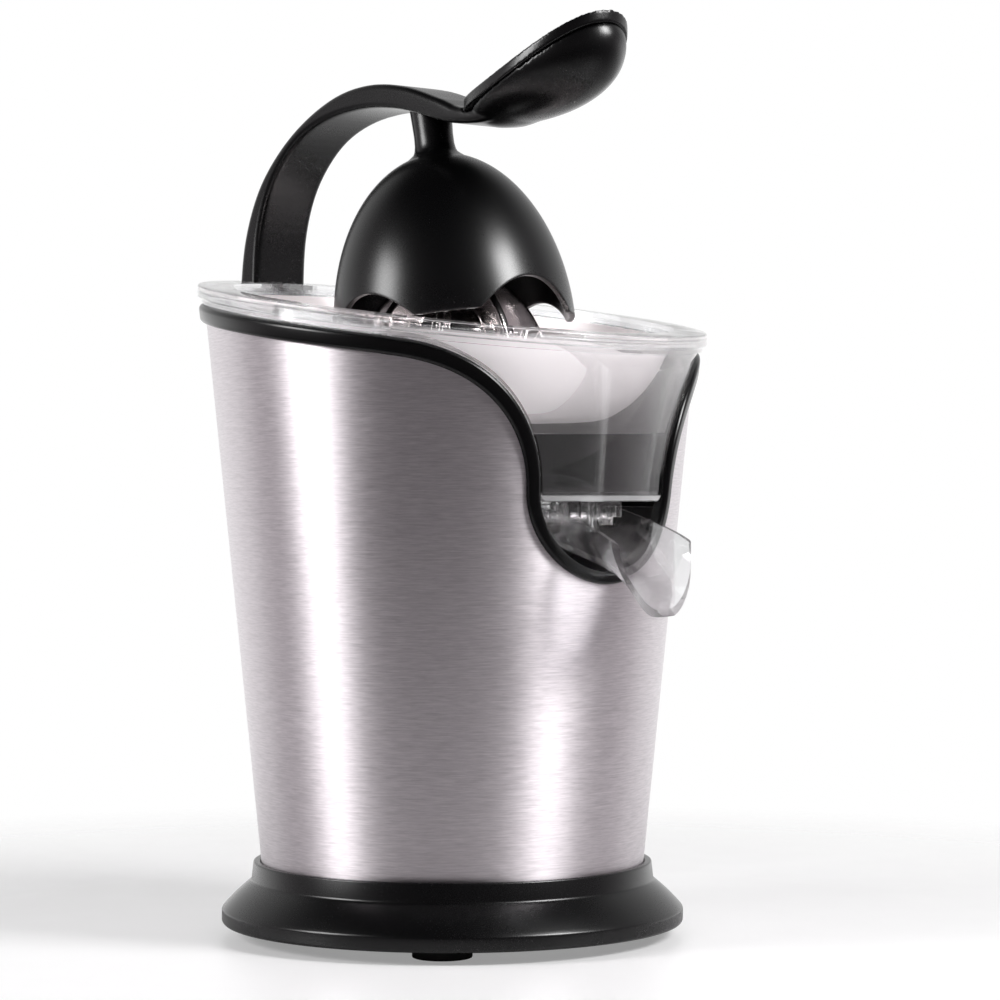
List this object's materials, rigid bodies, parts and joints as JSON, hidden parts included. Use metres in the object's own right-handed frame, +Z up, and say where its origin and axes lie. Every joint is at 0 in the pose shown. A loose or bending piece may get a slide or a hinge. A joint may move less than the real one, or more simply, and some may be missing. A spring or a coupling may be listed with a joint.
{
  "type": "citrus press juicer",
  "caption": "Lever citrus press: tapered steel body on a skirted base, clear bowl with spout, strainer, motor-driven reamer, arched lever with pressing dome.",
  "frame": {"origin": "on the table under the body axis, at the middle of the footprint", "axes": "+Z up, -Y to the front where the spout points, +X to the right of someone who faces the front"},
  "size_m": [0.203, 0.239, 0.3588],
  "materials": {
    "black_plastic": "satin black moulded plastic",
    "housing_plastic": "matt black moulded plastic",
    "rubber": "soft black rubber",
    "brushed_steel": "stainless steel brushed round the body",
    "polished_steel": "polished stainless steel",
    "plain_steel": "plain machined steel",
    "bronze": "sintered bronze",
    "copper": "enamelled copper winding",
    "lamination": "laminated electrical steel",
    "nylon": "natural moulded nylon",
    "grey_plastic": "grey moulded plastic",
    "clear_plastic": "clear moulded plastic"
  },
  "bodies": {
    "body": {"base_skirt": "black_plastic", "bottom_plate": "housing_plastic", "steel_shell": "brushed_steel", "shell_trim": "black_plastic", "inner_housing": "housing_plastic", "cord_gland": "rubber", "juice_bowl": "clear_plastic", "spout_pin": "polished_steel", "strainer": "polished_steel", "hinge_pin": "plain_steel", "hinge_bracket": "black_plastic", "bracket_screw_lower": "plain_steel", "bracket_screw_upper": "plain_steel", "gearbox_case": "grey_plastic", "gearbox_cover": "grey_plastic", "gearbox_screw_1": "plain_steel", "gearbox_screw_2": "plain_steel", "gearbox_screw_3": "plain_steel", "idler_axle": "plain_steel", "shaft_bush_lower": "bronze", "shaft_bush_upper": "bronze", "shaft_seal": "rubber", "motor_stator": "lamination", "motor_coil_upper": "copper", "motor_coil_lower": "copper", "motor_bracket_upper": "grey_plastic", "motor_bracket_lower": "grey_plastic", "motor_screw_1": "plain_steel", "motor_screw_2": "plain_steel", "return_spring": "plain_steel", "spring_bridge": "plain_steel", "start_switch": "housing_plastic", "foot_front_left": "rubber", "base_screw_front_left": "plain_steel", "foot_front_right": "rubber", "base_screw_front_right": "plain_steel", "foot_rear_left": "rubber", "base_screw_rear_left": "plain_steel", "foot_rear_right": "rubber", "base_screw_rear_right": "plain_steel"},
    "lever": {"lever_arm": "black_plastic", "handle_pad": "black_plastic", "pressing_dome": "black_plastic", "dome_screw": "plain_steel", "hinge_bush_left": "bronze", "hinge_bush_right": "bronze"},
    "spout_trough": {"spout": "clear_plastic"},
    "thrust_slide": {"thrust_cup": "nylon"},
    "reamer_drive": {"drive_shaft": "plain_steel", "reamer": "polished_steel"},
    "output_wheel": {"output_gear": "nylon"},
    "idler_wheel": {"idler_gear": "nylon"},
    "rotor": {"motor_rotor": "plain_steel", "cooling_fan": "nylon"},
    "button": {"switch_button": "nylon"}
  },
  "joints": [
    {"name": "lever_hinge", "type": "hinge", "parent": "body", "child": "lever", "pos_m": [0, 0.115, 0.24], "axis": [1, 0, 0], "range_deg": [-75, 9.5]},
    {"name": "spout_tilt", "type": "hinge", "parent": "body", "child": "spout_trough", "pos_m": [0, -0.064, 0.166], "axis": [-1, 0, 0], "range_deg": [0, 10]},
    {"name": "start_press", "type": "slide", "parent": "body", "child": "thrust_slide", "axis": [0, 0, 1], "range_m": [-0.0025, 0], "stiffness_N_per_m": 2000, "springref_m": 0.0015, "deforming": ["return_spring"]},
    {"name": "reamer_spin", "type": "hinge", "parent": "thrust_slide", "child": "reamer_drive", "pos_m": [0, 0, 0.2], "axis": [0, 0, 1], "continuous": true},
    {"name": "output_spin", "type": "hinge", "parent": "body", "child": "output_wheel", "pos_m": [0, 0, 0.1], "axis": [0, 0, 1], "continuous": true},
    {"name": "idler_spin", "type": "hinge", "parent": "body", "child": "idler_wheel", "pos_m": [0.01991, 0.019, 0.11], "axis": [0, 0, 1], "continuous": true},
    {"name": "rotor_spin", "type": "hinge", "parent": "body", "child": "rotor", "pos_m": [0, 0.038, 0.05], "axis": [0, 0, 1], "continuous": true},
    {"name": "button_push", "type": "slide", "parent": "body", "child": "button", "axis": [0, 0, 1], "range_m": [-0.0025, 0]}
  ],
  "couplings": [
    {"joint": "output_spin", "follows": "reamer_spin", "ratio": 1},
    {"joint": "idler_spin", "follows": "reamer_spin", "ratio": -3},
    {"joint": "rotor_spin", "follows": "reamer_spin", "ratio": 9},
    {"joint": "button_push", "follows": "start_press", "ratio": 1}
  ]
}
